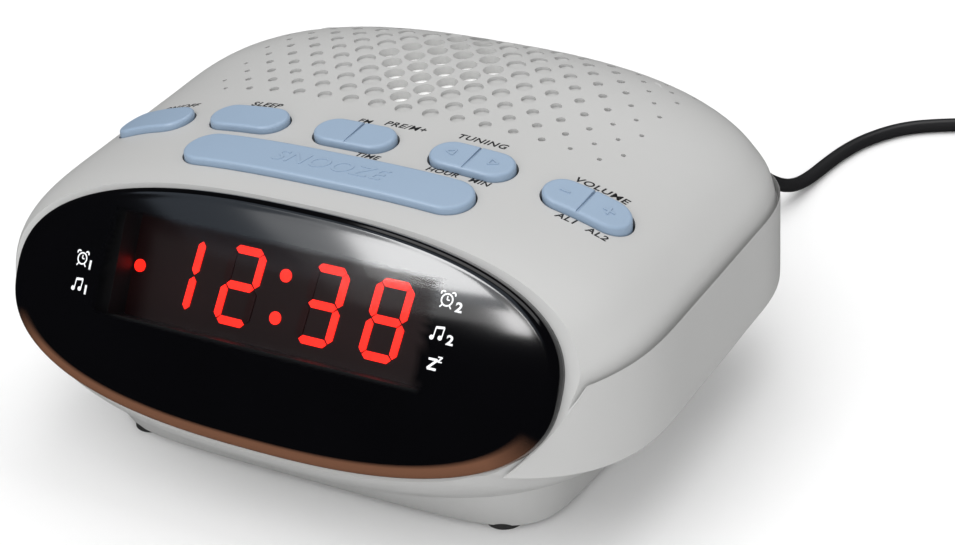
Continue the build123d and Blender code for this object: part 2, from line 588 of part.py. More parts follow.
# spare lead wound into a coil, four turns wide and two layers high
COIL_C, COIL_R = (133.5, 241.6), 24.5
COIL_HALF_W, COIL_H = 8.6, 8.6
coil = Pos(COIL_C[0], COIL_C[1], COIL_H / 2) * (Cylinder(COIL_R + COIL_HALF_W, COIL_H) - Cylinder(COIL_R - COIL_HALF_W, COIL_H))
coil = fillet(coil.edges().filter_by(GeomType.CIRCLE), 2.6)
keep("cord_coil", coil)

# from the relief's tip down to the table, along it, and into the coil's outer turn
ROUTE = [(ex, BACK_Y + RELIEF_LEN, ez), (44.2, 162.0, 32.0), (46.4, 171.0, 26.8), (50.9, 177.8, 18.6),
         (55.2, 184.6, 10.4), (57.7, 194.0, 5.0), (58.8, 205.5, 2.4), (60.1, 217.0, R), (62.4, 228.5, R),
         (66.5, 239.0, R), (74.0, 249.3, R), (84.4, 255.6, R), (95.0, 259.9, R), (105.5, 263.6, R), (116.0, 267.8, R)]
# from the coil's outer turn, upper layer, down beside it and up into the plug
END = [(164.3, 236.0, 6.3), (164.6, 224.5, 5.2), (165.6, 213.0, 2.5), (167.6, 202.0, R), (169.2, 191.0, 3.4), (169.4, 180.5, 5.8)]


def radii(points):
    out = []
    for a, b, c in zip(points, points[1:], points[2:]):
        u, w = Vector(*b) - Vector(*a), Vector(*c) - Vector(*b)
        half = math.radians(u.get_angle(w)) / 2
        out.append(0.45 * min(u.length, w.length) / math.tan(half))
    return out


def tube(points, name):
    rr = radii(points)
    print(name, "radii", [round(r, 1) for r in rr], "least over diameter", round(min(rr) / CORD_D, 2),
          "runs", [round((Vector(*b) - Vector(*a)).length, 1) for a, b in zip(points, points[1:])])
    path = FilletPolyline(*points, radius=rr)
    direction = Vector(*points[1]) - Vector(*points[0])
    section = Plane(origin=points[0], z_dir=direction) * Circle(R)
    solid = sweep(section, path=path)
    print(name, "length", round(path.length, 1), "volume ratio", round(solid.volume / (path.length * math.pi * R * R), 4))
    return solid


keep("mains_cord", tube(ROUTE, "mains_cord") - coil)
keep("cord_end", tube(END, "cord_end") - coil)

# flat two-pin plug lying on its broad side, pins away from the lead
PLUG_W, PLUG_L, PLUG_T = 26.0, 34.0, 12.6
PIN_D, PIN_L, PIN_PITCH = 4.0, 19.0, 18.6
plug_dir = Vector(*END[-1]) - Vector(*END[-2])
plug_turn = math.degrees(math.atan2(plug_dir.Y, plug_dir.X))
plug_z = PLUG_T / 2 + 0.06
tip_z = END[-1][2]


def plug_section(x, w, t, z, expo):
    pts = []
    for i in range(32):
        th = 2 * math.pi * i / 32
        c, d = math.cos(th), math.sin(th)
        pts.append((x, w / 2 * math.copysign(abs(c) ** (2 / expo), c), z + t / 2 * math.copysign(abs(d) ** (2 / expo), d)))
    return Face(Wire([Spline(*pts, periodic=True)]))


tail = plug_dir.normalized()
sleeve_secs = [plug_section(0.0, 5.6, 5.6, tip_z, 2.0), plug_section(10.0, 7.0, 7.0, plug_z - 0.1, 2.0),
               plug_section(20.0, 9.6, 8.6, plug_z, 2.2)]
body_secs = [plug_section(20.0, 9.6, 8.6, plug_z, 2.2), plug_section(26.0, 17.0, 10.6, plug_z, 2.6),
             plug_section(34.0, 24.6, 12.3, plug_z, 3.4), plug_section(44.0, 26.0, 12.6, plug_z, 4.2),
             plug_section(54.0, 25.6, 12.4, plug_z, 4.4)]
place = Pos(END[-1][0], END[-1][1], 0) * Rot(0, 0, plug_turn)
keep("mains_plug", place * (loft(sleeve_secs) + loft(body_secs)
                            - [Pos(54.0 - 3.0, s * PIN_PITCH / 2, plug_z) * Rot(0, 90, 0) * Cylinder(PIN_D / 2, 6.4) for s in (-1, 1)]))
pins = []
for s in (-1, 1):
    pin = Rot(0, 90, 0) * Cylinder(PIN_D / 2, PIN_L + 6.0)
    pin = fillet(pin.edges().filter_by(GeomType.CIRCLE).sort_by(Axis.X)[-1:], 1.3)
    pins.append(place * Pos(54.0 - 6.0 + (PIN_L + 6.0) / 2, s * PIN_PITCH / 2, plug_z) * pin)
keep_group("plug_pins", pins)
CORD_NODES = ("strain_relief", "mains_cord", "cord_coil", "cord_end", "mains_plug", "plug_pins")

# ---------------------------------------------------------------- hand over
if __name__ == "__main__":
    move = Pos(0, SHIFT_Y, 0)
    boxes = {}
    for name, shape in PARTS.items():
        out = Compound(children=[move * s for s in shape]) if isinstance(shape, list) else move * shape
        export_step(out, f"parts/{name}.step")
        boxes[name] = out.bounding_box()
    body = [b for n, b in boxes.items() if n not in CORD_NODES]
    for label, bs in (("case", body), ("all", list(boxes.values()))):
        print(label, [round(min(getattr(b.min, k) for b in bs), 2) for k in "XYZ"],
              [round(max(getattr(b.max, k) for b in bs), 2) for k in "XYZ"])
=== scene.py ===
import bpy, bmesh, math
from mathutils import Vector, Matrix


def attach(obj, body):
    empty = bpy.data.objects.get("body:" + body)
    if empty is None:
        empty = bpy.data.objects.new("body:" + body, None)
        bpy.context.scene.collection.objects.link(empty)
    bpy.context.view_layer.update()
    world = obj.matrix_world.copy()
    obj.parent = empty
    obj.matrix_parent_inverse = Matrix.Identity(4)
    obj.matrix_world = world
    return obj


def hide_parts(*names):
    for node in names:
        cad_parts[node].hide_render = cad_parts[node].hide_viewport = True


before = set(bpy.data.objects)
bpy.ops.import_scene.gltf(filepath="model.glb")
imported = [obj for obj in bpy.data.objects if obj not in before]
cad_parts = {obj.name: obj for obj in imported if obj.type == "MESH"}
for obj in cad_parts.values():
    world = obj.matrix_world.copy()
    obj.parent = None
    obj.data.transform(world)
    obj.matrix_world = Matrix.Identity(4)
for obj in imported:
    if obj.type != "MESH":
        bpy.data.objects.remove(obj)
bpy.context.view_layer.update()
S = -57.94                      # shift of the design frame, mm


def M(x, y, z):
    return Vector((x / 1000, (y + S) / 1000, z / 1000))


# ------------------------------------------------------------------ camera
AZ, EL, ROLL = 0.5406, 0.5257, -0.0757
back = Vector((math.sin(AZ) * math.cos(EL), -math.cos(AZ) * math.cos(EL), math.sin(EL)))
right = Vector((math.cos(AZ), math.sin(AZ), 0))
up = back.cross(right)
r2 = right * math.cos(ROLL) + up * math.sin(ROLL)
u2 = up * math.cos(ROLL) - right * math.sin(ROLL)
cam_data = bpy.data.cameras.new("camera")
cam = bpy.data.objects.new("camera", cam_data)
bpy.context.scene.collection.objects.link(cam)
cam_data.sensor_width = 36.0
cam_data.lens = 86.70
cam_data.clip_start = 0.02
m = Matrix.Identity(4)
for i, v in enumerate((r2, u2, back)):
    for j in range(3):
        m[j][i] = v[j]
p = M(291.995, -386.554, 341.855)
for j in range(3):
    m[j][3] = p[j]
cam.matrix_world = m
bpy.context.scene.camera = cam


# ------------------------------------------------------------------ materials
def material(name):
    mt = bpy.data.materials.new(name)
    mt.use_nodes = True
    nt = mt.node_tree
    return mt, nt, nt.nodes["Principled BSDF"]


def moulded(name, color, rough=0.45, grain=0.06, grain_size=0.35, tone=0.05, spec=0.5, coat=0.0, sss=0.0):
    """Moulded plastic or rubber: fine spark-eroded grain, slight flow marks in colour and gloss."""
    mt, nt, b = material(name)
    N, L = nt.nodes, nt.links
    tc = N.new("ShaderNodeTexCoord")
    n1 = N.new("ShaderNodeTexNoise")
    n1.inputs["Scale"].default_value = 1000 / grain_size / 2
    n1.inputs["Detail"].default_value = 4
    n2 = N.new("ShaderNodeTexNoise")
    n2.inputs["Scale"].default_value = 22
    n2.inputs["Detail"].default_value = 6
    L.new(tc.outputs["Object"], n1.inputs["Vector"])
    L.new(tc.outputs["Object"], n2.inputs["Vector"])
    ramp = N.new("ShaderNodeValToRGB")
    e = ramp.color_ramp.elements
    e[0].position, e[1].position = 0.3, 0.7
    e[0].color = (*[c * (1 - tone) for c in color], 1)
    e[1].color = (*[min(1, c * (1 + tone)) for c in color], 1)
    L.new(n2.outputs["Fac"], ramp.inputs["Fac"])
    L.new(ramp.outputs["Color"], b.inputs["Base Color"])
    mr = N.new("ShaderNodeMapRange")
    mr.inputs["To Min"].default_value = max(0.02, rough - 0.06)
    mr.inputs["To Max"].default_value = rough + 0.06
    L.new(n1.outputs["Fac"], mr.inputs["Value"])
    L.new(mr.outputs["Result"], b.inputs["Roughness"])
    bump = N.new("ShaderNodeBump")
    bump.inputs["Strength"].default_value = grain
    bump.inputs["Distance"].default_value = 0.0002
    L.new(n1.outputs["Fac"], bump.inputs["Height"])
    L.new(bump.outputs["Normal"], b.inputs["Normal"])
    b.inputs["Specular IOR Level"].default_value = spec
    b.inputs["Coat Weight"].default_value = coat
    b.inputs["Coat Roughness"].default_value = 0.1
    return mt


def metal(name, color, rough=0.3, streak=60):
    mt, nt, b = material(name)
    N, L = nt.nodes, nt.links
    tc = N.new("ShaderNodeTexCoord")
    mp = N.new("ShaderNodeMapping")
    mp.inputs["Scale"].default_value = (1, 1, 12)
    n1 = N.new("ShaderNodeTexNoise")
    n1.inputs["Scale"].default_value = streak * 10
    n1.inputs["Detail"].default_value = 5
    L.new(tc.outputs["Object"], mp.inputs["Vector"])
    L.new(mp.outputs["Vector"], n1.inputs["Vector"])
    ramp = N.new("ShaderNodeValToRGB")
    ramp.color_ramp.elements[0].color = (*[c * 0.8 for c in color], 1)
    ramp.color_ramp.elements[1].color = (*color, 1)
    L.new(n1.outputs["Fac"], ramp.inputs["Fac"])
    L.new(ramp.outputs["Color"], b.inputs["Base Color"])
    mr = N.new("ShaderNodeMapRange")
    mr.inputs["To Min"].default_value = rough - 0.1
    mr.inputs["To Max"].default_value = rough + 0.1
    L.new(n1.outputs["Fac"], mr.inputs["Value"])
    L.new(mr.outputs["Result"], b.inputs["Roughness"])
    b.inputs["Metallic"].default_value = 1.0
    return mt


GREY = (0.44, 0.44, 0.435)
m_case = moulded("case_plastic", GREY, 0.42, 0.05, 0.3, 0.015)
m_button = moulded("button_plastic", (0.255, 0.34, 0.45), 0.40, 0.04, 0.3, 0.02)
m_black = moulded("black_moulding", (0.016, 0.016, 0.017), 0.5, 0.1, 0.3, 0.2)
m_cord = moulded("cord_pvc", (0.012, 0.012, 0.013), 0.36, 0.08, 0.5, 0.25)
m_rubber = moulded("pad_rubber", (0.02, 0.02, 0.02), 0.75, 0.3, 0.4, 0.25)
m_print = moulded("legend_ink", (0.006, 0.006, 0.007), 0.6, 0.1, 0.2, 0.1)
m_white = moulded("icon_ink", (0.85, 0.86, 0.88), 0.35, 0.03, 0.2, 0.03)
m_board = moulded("board", (0.03, 0.14, 0.06), 0.35, 0.15, 0.8, 0.15)
m_paper = moulded("cone_paper", (0.03, 0.03, 0.03), 0.85, 0.4, 0.6, 0.3)
m_tape = moulded("winding_tape", (0.6, 0.5, 0.12), 0.35, 0.1, 1.0, 0.1)
m_steel = metal("plated_steel", (0.6, 0.6, 0.6), 0.3)
m_core = metal("core_steel", (0.12, 0.12, 0.13), 0.5, 200)
m_pin = metal("pin_nickel", (0.75, 0.73, 0.68), 0.22, 30)
m_battery = moulded("battery_sleeve", (0.05, 0.06, 0.1), 0.3, 0.05, 0.5, 0.2)
m_module = moulded("module_front", (0.022, 0.006, 0.006), 0.4, 0.05, 0.4, 0.2)
m_off = moulded("diffuser_off", (0.03, 0.004, 0.004), 0.35, 0.05, 0.4, 0.2)
m_ribbon = moulded("ribbon", (0.4, 0.4, 0.4), 0.45, 0.1, 0.5, 0.05)


def cloth_material():
    mt, nt, b = material("dust_cloth")
    N, L = nt.nodes, nt.links
    tc = N.new("ShaderNodeTexCoord")
    outs = []
    for rot in (0, math.pi / 2):
        mp = N.new("ShaderNodeMapping")
        mp.inputs["Rotation"].default_value = (0, 0, rot)
        w = N.new("ShaderNodeTexWave")
        w.inputs["Scale"].default_value = 500
        w.inputs["Distortion"].default_value = 0.6
        L.new(tc.outputs["Object"], mp.inputs["Vector"])
        L.new(mp.outputs["Vector"], w.inputs["Vector"])
        outs.append(w.outputs["Fac"])
    mx = N.new("ShaderNodeMath")
    mx.operation = "MAXIMUM"
    L.new(outs[0], mx.inputs[0])
    L.new(outs[1], mx.inputs[1])
    ramp = N.new("ShaderNodeValToRGB")
    ramp.color_ramp.elements[0].color = (0.80, 0.80, 0.79, 1)
    ramp.color_ramp.elements[1].color = (0.95, 0.95, 0.94, 1)
    L.new(mx.outputs[0], ramp.inputs["Fac"])
    L.new(ramp.outputs["Color"], b.inputs["Base Color"])
    bump = N.new("ShaderNodeBump")
    bump.inputs["Strength"].default_value = 0.4
    bump.inputs["Distance"].default_value = 0.0002
    L.new(mx.outputs[0], bump.inputs["Height"])
    L.new(bump.outputs["Normal"], b.inputs["Normal"])
    b.inputs["Roughness"].default_value = 0.9
    b.inputs["Sheen Weight"].default_value = 0.3
    # painted light: the cloth glows so it reads bright through the roof holes instead of sitting in shade under the
    # roof
    b.inputs["Emission Color"].default_value = (1, 1, 1, 1)
    b.inputs["Emission Strength"].default_value = 0.28
    return mt


def led_material():
    mt, nt, b = material("led_lit")
    N, L = nt.nodes, nt.links
    tc = N.new("ShaderNodeTexCoord")
    n = N.new("ShaderNodeTexNoise")
    n.inputs["Scale"].default_value = 400
    L.new(tc.outputs["Object"], n.inputs["Vector"])
    ramp = N.new("ShaderNodeValToRGB")
    ramp.color_ramp.elements[0].color = (0.85, 0.008, 0.004, 1)
    ramp.color_ramp.elements[1].color = (1.0, 0.02, 0.01, 1)
    L.new(n.outputs["Fac"], ramp.inputs["Fac"])
    L.new(ramp.outputs["Color"], b.inputs["Base Color"])
    L.new(ramp.outputs["Color"], b.inputs["Emission Color"])
    b.inputs["Emission Strength"].default_value = 2.6
    b.inputs["Roughness"].default_value = 0.4
    return mt


m_led = led_material()
m_cloth = cloth_material()

# ------------------------------------------------------------------ case form, as in the design
CASE_HALF_W, CASE_EXP = 92.7, 2.7
FRONT_Y, FRONT_LEN, REAR_Y, REAR_LEN = 37.0, 56.3, 86.0, 52.1
SEAM_Z, ARCH_H, ARCH_RISE = 41.0, 38.3, 0.046
FACE_TILT, FACE_Y, FACE_Z = math.radians(31.05), 2.4, 49.66
LENS_A, LENS_B, LENS_EXP = 78.7, 30.4, 2.47


def top_z(x, y, grow=0.0):
    q = 0.0
    if y < FRONT_Y:
        q = (FRONT_Y - y) / (FRONT_LEN + grow)
    elif y > REAR_Y:
        q = (y - REAR_Y) / (REAR_LEN + grow)
    v = 1 - (abs(x) / (CASE_HALF_W + grow)) ** CASE_EXP - q ** CASE_EXP
    h = (ARCH_H + grow) / (1 - ARCH_RISE * (y - 69.4) / ARCH_H)
    return SEAM_Z + h * max(v, 0) ** (1 / CASE_EXP)


def on_face(u, v, w):
    n = (0, -math.cos(FACE_TILT), math.sin(FACE_TILT))
    up_ = (0, math.sin(FACE_TILT), math.cos(FACE_TILT))
    return M(u, FACE_Y + v * up_[1] + w * n[1], FACE_Z + v * up_[2] + w * n[2])


def new_mesh(name, verts, faces, mat, smooth=True):
    me = bpy.data.meshes.new(name)
    me.from_pydata([tuple(v) for v in verts], [], faces)
    me.update()
    for poly in me.polygons:
        poly.use_smooth = smooth
    ob = bpy.data.objects.new(name, me)
    bpy.context.scene.collection.objects.link(ob)
    me.materials.append(mat)
    return ob


# ------------------------------------------------------------------ mains lead
ROUTE = [(44.0, 152.0, 33.0), (44.2, 162.0, 32.0), (46.4, 171.0, 26.8), (50.9, 177.8, 18.6),
         (55.2, 184.6, 10.4), (57.7, 194.0, 5.0), (58.8, 205.5, 2.4), (60.1, 217.0, 2.1), (62.4, 228.5, 2.1),
         (66.5, 239.0, 2.1), (74.0, 249.3, 2.1), (84.4, 255.6, 2.1), (95.0, 259.9, 2.1), (105.5, 263.6, 2.1), (115.0, 267.6, 2.1)]
END = [(164.7, 231.5, 6.3), (164.7, 223.0, 5.0), (165.6, 213.0, 2.5), (167.6, 202.0, 2.1), (169.2, 191.0, 3.4), (169.4, 180.5, 5.8)]
COIL = (133.5, 241.6)
PER = 20


def ease(t):
    t = max(0.0, min(1.0, t))
    return t * t * (3 - 2 * t)


coil_pts = []
k = 0
while True:
    t = k / PER
    phi = 111.0 - 360.0 * t
    if t > 7.29:
        break
    whole, f = int(t), t - int(t)
    a = ease((f - 0.75) / 0.25)
    if whole < 3:
        r, z = 30.8 - 4.2 * (whole + a), 2.1
    elif whole == 3:
        r, z = 18.2, 2.1 + 4.2 * ease((f - 0.6) / 0.22)
    elif whole < 7:
        r, z = 18.2 + 4.2 * (whole - 4 + a), 6.3
    else:
        r, z = 30.8, 6.3
    r /= math.cos(math.pi / PER)
    coil_pts.append((COIL[0] + r * math.cos(math.radians(phi)), COIL[1] + r * math.sin(math.radians(phi)), z))
    k += 1
cord_pts = ROUTE + coil_pts + END
cu = bpy.data.curves.new("mains_lead", "CURVE")
cu.dimensions = "3D"
sp = cu.splines.new("NURBS")
sp.points.add(len(cord_pts) - 1)
for q, pt in zip(sp.points, cord_pts):
    v = M(*pt)
    q.co = (v.x, v.y, v.z, 1)
sp.order_u = 3
sp.use_endpoint_u = True
sp.resolution_u = 8
cu.bevel_depth = 0.0021
cu.bevel_resolution = 6
cu.use_fill_caps = True
lead = bpy.data.objects.new("mains_lead", cu)
bpy.context.scene.collection.objects.link(lead)
cu.materials.append(m_cord)
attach(lead, "root")
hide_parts("mains_cord", "cord_coil", "cord_end")

# ------------------------------------------------------------------ carried-over nodes
MATS = {"top_housing": m_case, "bottom_housing": m_case, "battery_door": m_case, "on_off_button": m_button,
        "sleep_button": m_button, "preset_rocker": m_button, "tuning_rocker": m_button, "volume_rocker": m_button,
        "snooze_bar": m_button, "display_mask": m_black, "display_module": m_module, "led_digits": m_led,
        "dark_segments": m_off, "display_board": m_board, "key_board": m_board, "main_board": m_board,
        "tact_switches": m_black, "board_chips": m_black, "capacitors": m_battery, "ribbon_cable": m_ribbon,
        "speaker_frame": m_steel, "speaker_magnet": m_core, "speaker_cone": m_paper, "speaker_cloth": m_cloth,
        "transformer_core": m_core, "transformer_winding": m_tape, "backup_battery": m_battery,
        "battery_snap": m_black, "rubber_feet": m_rubber, "strain_relief": m_cord, "mains_plug": m_cord,
        "plug_pins": m_pin, "board_screws": m_steel, "housing_screws": m_steel, "speaker_screws": m_steel,
        "transformer_screws": m_steel, "lens": m_black}
for name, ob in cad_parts.items():
    mt = MATS.get(name, m_black)
    if not ob.material_slots:
        ob.data.materials.append(mt)
    for sl in ob.material_slots:
        sl.material = mt


# ------------------------------------------------------------------ lens
def lens_material():
    """Smoked acrylic, black behind except over the display window; the brown on the lower clear edge is painted light,
    standing for table light shining up through the rim.
    """
    mt, nt, b = material("smoked_acrylic")
    N, L = nt.nodes, nt.links
    at = N.new("ShaderNodeAttribute")
    at.attribute_name = "window_and_painted_rim_light"
    sep = N.new("ShaderNodeSeparateColor")
    L.new(at.outputs["Color"], sep.inputs["Color"])
    tc = N.new("ShaderNodeTexCoord")
    n = N.new("ShaderNodeTexNoise")
    n.inputs["Scale"].default_value = 30
    L.new(tc.outputs["Object"], n.inputs["Vector"])
    ramp = N.new("ShaderNodeValToRGB")
    ramp.color_ramp.elements[0].color = (0.0007, 0.0007, 0.0011, 1)
    ramp.color_ramp.elements[1].color = (0.0014, 0.0014, 0.002, 1)
    L.new(n.outputs["Fac"], ramp.inputs["Fac"])
    # painted light: the green channel mixes a brown glow into the lower rim, standing for table light seen through the
    # edge
    mix = N.new("ShaderNodeMix")
    mix.data_type = "RGBA"
    L.new(sep.outputs["Green"], mix.inputs["Factor"])
    L.new(ramp.outputs["Color"], mix.inputs["A"])
    mix.inputs["B"].default_value = (0.13, 0.06, 0.035, 1)
    L.new(mix.outputs["Result"], b.inputs["Base Color"])
    mr = N.new("ShaderNodeMapRange")
    mr.inputs["To Min"].default_value = 1.0
    mr.inputs["To Max"].default_value = 0.3
    L.new(sep.outputs["Red"], mr.inputs["Value"])
    L.new(mr.outputs["Result"], b.inputs["Alpha"])
    b.inputs["Roughness"].default_value = 0.10
    b.inputs["IOR"].default_value = 1.45
    return mt


EDGE, RIM, RISE = 2.2, 2.4, 4.2


def oval_r(th, a, b):
    c, s = math.cos(th), math.sin(th)
    return (a * math.copysign(abs(c) ** (2 / LENS_EXP), c), b * math.copysign(abs(s) ** (2 / LENS_EXP), s))


def lens_w(u, v):
    """Height of the lens's outer surface over the face plane."""
    a, b = LENS_A - RIM, LENS_B - RIM
    f = (abs(u / a) ** LENS_EXP + abs(v / b) ** LENS_EXP) ** (1 / LENS_EXP)
    return EDGE + RIM + RISE * (1 - min(f, 1) ** 2)


def build_lens():
    n = 288
    rings = []          # (a, b, w)
    rings.append((LENS_A - 2.2, LENS_B - 2.2, 0.0))
    rings.append((LENS_A, LENS_B, 0.0))
    rings.append((LENS_A, LENS_B, EDGE * 0.5))
    rings.append((LENS_A, LENS_B, EDGE))
    for i in range(1, 9):
        t = math.pi / 2 * i / 8
        rings.append((LENS_A - RIM * (1 - math.cos(t)), LENS_B - RIM * (1 - math.cos(t)), EDGE + RIM * math.sin(t)))
    fs = [1 - j / 34 for j in range(1, 34)]
    for f in fs:
        rings.append(((LENS_A - RIM) * f, (LENS_B - RIM) * f, EDGE + RIM + RISE * (1 - f * f)))
    verts, window_and_painted_rim_light = [], []
    for ri, (a, b, w) in enumerate(rings):
        for i in range(n):
            th = 2 * math.pi * i / n
            u, v = oval_r(th, a, b)
            verts.append(on_face(u, v, w))
            du, dv = max(-48.5 - u, u - 43.5, 0), max(-5.2 - v, v - 20.0, 0)
            d = math.hypot(du, dv)
            r = max(0.0, 1 - d / 1.2)
            g = 0.0
            # painted light: marks the lower rim rings for the brown glow of table light shining up through the edge
            if v < -b * 0.35 and ri < 12:
                g = min(1.0, (-v / b - 0.35) / 0.3)
            window_and_painted_rim_light.append((r, g, 0, 1))
    faces = []
    for k in range(len(rings) - 1):
        for i in range(n):
            j = (i + 1) % n
            faces.append((k * n + i, k * n + j, (k + 1) * n + j, (k + 1) * n + i))
    verts.append(on_face(0, 0, EDGE + RIM + RISE))
    window_and_painted_rim_light.append((1, 0, 0, 1))
    c = len(verts) - 1
    base = (len(rings) - 1) * n
    for i in range(n):
        faces.append((base + i, base + (i + 1) % n, c))
    ob = new_mesh("smoked_lens", verts, faces, lens_material())
    ca = ob.data.color_attributes.new("window_and_painted_rim_light", "FLOAT_COLOR", "POINT")
    for i, t in enumerate(window_and_painted_rim_light):
        ca.data[i].color = t
    return ob


lens = build_lens()
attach(lens, "root")
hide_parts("lens")


# ------------------------------------------------------------------ printing
def text_outline(word, size, spacing=1.0, shear=0.0, bold=0.022, wide=1.0):
    cu = bpy.data.curves.new("t", "FONT")
    cu.body = word
    cu.size = size
    cu.space_character = spacing
    cu.shear = shear
    cu.offset = bold * size
    cu.align_x = "CENTER"
    cu.align_y = "CENTER"
    cu.resolution_u = 4
    ob = bpy.data.objects.new("t", cu)
    bpy.context.scene.collection.objects.link(ob)
    dg = bpy.context.evaluated_depsgraph_get()
    me = bpy.data.meshes.new_from_object(ob.evaluated_get(dg))
    bpy.data.objects.remove(ob)
    bm = bmesh.new()
    bm.from_mesh(me)
    for v in bm.verts:
        v.co.x *= wide
    bmesh.ops.triangulate(bm, faces=bm.faces[:])
    bmesh.ops.subdivide_edges(bm, edges=[e for e in bm.edges if e.calc_length() > 0.8], cuts=1, use_grid_fill=False)
    bmesh.ops.triangulate(bm, faces=bm.faces[:])
    return bm


def bm_polys(polys):
    bm = bmesh.new()
    for poly in polys:
        bm.faces.new([bm.verts.new((x, y, 0)) for x, y in poly])
    return bm


def drape(name, bm, place, mat, body, thick=0.06, lift=0.02, slot=None):
    """Turns a flat outline into a thin raised print that follows the surface given by place(u, v, h)."""
    ext = bmesh.ops.extrude_face_region(bm, geom=bm.faces[:])
    for v in [g for g in ext["geom"] if isinstance(g, bmesh.types.BMVert)]:
        v.co.z = 1.0
    bmesh.ops.recalc_face_normals(bm, faces=bm.faces[:])
    for v in bm.verts:
        v.co = place(v.co.x, v.co.y, lift + (thick if v.co.z > 0.5 else -0.05))
    me = bpy.data.meshes.new(name)
    bm.to_mesh(me)
    bm.free()
    ob = bpy.data.objects.new(name, me)
    bpy.context.scene.collection.objects.link(ob)
    me.materials.append(mat)
    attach(ob, body)
    return ob


def roof_place(cx, cy, grow=0.0, turn=0.0):
    c, s = math.cos(turn), math.sin(turn)

    def f(u, v, h):
        x, y = cx + u * c - v * s, cy + u * s + v * c
        return M(x, y, top_z(x, y, grow) + h)
    return f


LABELS = [("SLEEP", -37.2, 59.9, 3.0), ("PRE/M+", 5.6, 60.2, 3.0), ("FM", -6.0, 59.2, 2.5), ("TIME", 4.0, 43.5, 2.6), ("TUNING", 27.6, 61.0, 3.0),
          ("HOUR", 25.6, 43.8, 2.6), ("MIN", 36.2, 43.6, 2.6), ("VOLUME", 62.6, 57.6, 3.0), ("AL1", 61.0, 41.6, 2.7), ("AL2", 69.2, 41.4, 2.7),
          ("ON/OFF", -65.0, 58.6, 2.7)]
for i, (word, x, y, size) in enumerate(LABELS):
    drape(f"legend_{i}", text_outline(word, size, 1.1, 0.22, 0.012, 1.15), roof_place(x, y), m_print, "root", 0.04, 0.03)


def lens_place(cx, cy, s=1.0):
    def f(u, v, h):
        a, b = cx + u * s, cy + v * s
        return on_face(a, b, lens_w(a, b) + h)
    return f


def ring(cx, cy, r0, r1, n=28, a0=0.0, a1=360.0):
    out = []
    for i in range(n):
        p0, p1 = math.radians(a0 + (a1 - a0) * i / n), math.radians(a0 + (a1 - a0) * (i + 1) / n)
        out.append([(cx + r0 * math.cos(p0), cy + r0 * math.sin(p0)), (cx + r1 * math.cos(p0), cy + r1 * math.sin(p0)),
                    (cx + r1 * math.cos(p1), cy + r1 * math.sin(p1)), (cx + r0 * math.cos(p1), cy + r0 * math.sin(p1))])
    return out


def bar(x0, y0, x1, y1, w):
    L = math.hypot(x1 - x0, y1 - y0)
    nx, ny = -(y1 - y0) / L * w / 2, (x1 - x0) / L * w / 2
    return [[(x0 + nx, y0 + ny), (x0 - nx, y0 - ny), (x1 - nx, y1 - ny), (x1 + nx, y1 + ny)]]


def disc(cx, cy, r, n=16):
    return [[(cx + r * math.cos(2 * math.pi * i / n), cy + r * math.sin(2 * math.pi * i / n)) for i in range(n)]]


def clock_icon():
    return (ring(0, 0, 1.35, 1.75) + bar(0, 0, 0, 1.0, 0.32) + bar(0, 0, 0.75, 0, 0.32) + ring(-1.45, 1.55, 0.35, 0.75, 12, 30, 210)
            + ring(1.45, 1.55, 0.35, 0.75, 12, -30, 150) + bar(-1.0, -1.35, -1.6, -2.1, 0.35) + bar(1.0, -1.35, 1.6, -2.1, 0.35))


def note_icon():
    return (bar(-1.0, -1.3, -0.7, 1.4, 0.32) + bar(1.3, -1.1, 1.6, 1.6, 0.32) + bar(-0.75, 1.35, 1.65, 1.6, 0.65)
            + disc(-1.45, -1.35, 0.62) + disc(0.85, -1.15, 0.62))


def z_icon():
    out = []
    for cx, cy, s in ((-0.4, -0.3, 1.25), (1.5, 1.2, 0.6)):
        out += bar(cx - s, cy + s, cx + s, cy + s, 0.42 * s + 0.1) + bar(cx + s, cy + s, cx - s, cy - s, 0.42 * s + 0.1) \
            + bar(cx - s, cy - s, cx + s, cy - s, 0.42 * s + 0.1)
    return out


for nm, polys, x, y in (("clock_a", clock_icon(), -56.5, 6.3), ("note_a", note_icon(), -56.4, -0.3), ("clock_b", clock_icon(), 47.7, 16.6),
                        ("note_b", note_icon(), 47.4, 8.6), ("rest_z", z_icon(), 48.0, 1.5)):
    drape("icon_" + nm, bm_polys(polys), lens_place(x, y, 0.92), m_white, "root", 0.03, 0.02)
for nm, word, x, y in (("a1", "1", -53.6, 5.0), ("b1", "1", -53.6, -1.4), ("a2", "2", 51.1, 15.3), ("b2", "2", 50.8, 7.4)):
    drape("icon_" + nm, text_outline(word, 3.2, 1.0, 0.0, 0.035, 1.15), lens_place(x, y), m_white, "root", 0.03, 0.02)

# raised lettering and marks on the keys
BTN_Y = 50.6
drape("mark_snooze", text_outline("SNOOZE", 6.8, 1.1, 0.25, 0.0, 1.12), roof_place(-1.4, 33.6, 1.9), m_button, "snooze_bar", 0.16, 0.0)
drape("mark_minus", bm_polys(bar(-1.3, 0, 1.3, 0, 0.55)), roof_place(57.2, BTN_Y - 1.6, 1.9), m_button, "volume_rocker", 0.25, 0.0)
drape("mark_plus", bm_polys(bar(-1.5, 0, 1.5, 0, 0.55) + bar(0, -1.5, 0, 1.5, 0.55)), roof_place(69.0, BTN_Y - 1.6, 1.9), m_button, "volume_rocker", 0.25, 0.0)
for nm, s in (("left", -1), ("right", 1)):
    tri = [(s * 1.4, 0), (-s * 1.0, 1.3), (-s * 1.0, -1.3)]
    polys = []
    for i in range(3):
        a, b = tri[i], tri[(i + 1) % 3]
        polys += bar(*a, *b, 0.4)
    drape("mark_" + nm, bm_polys(polys), roof_place(30.6 + s * 6.0, BTN_Y, 1.9), m_button, "tuning_rocker", 0.22, 0.0)

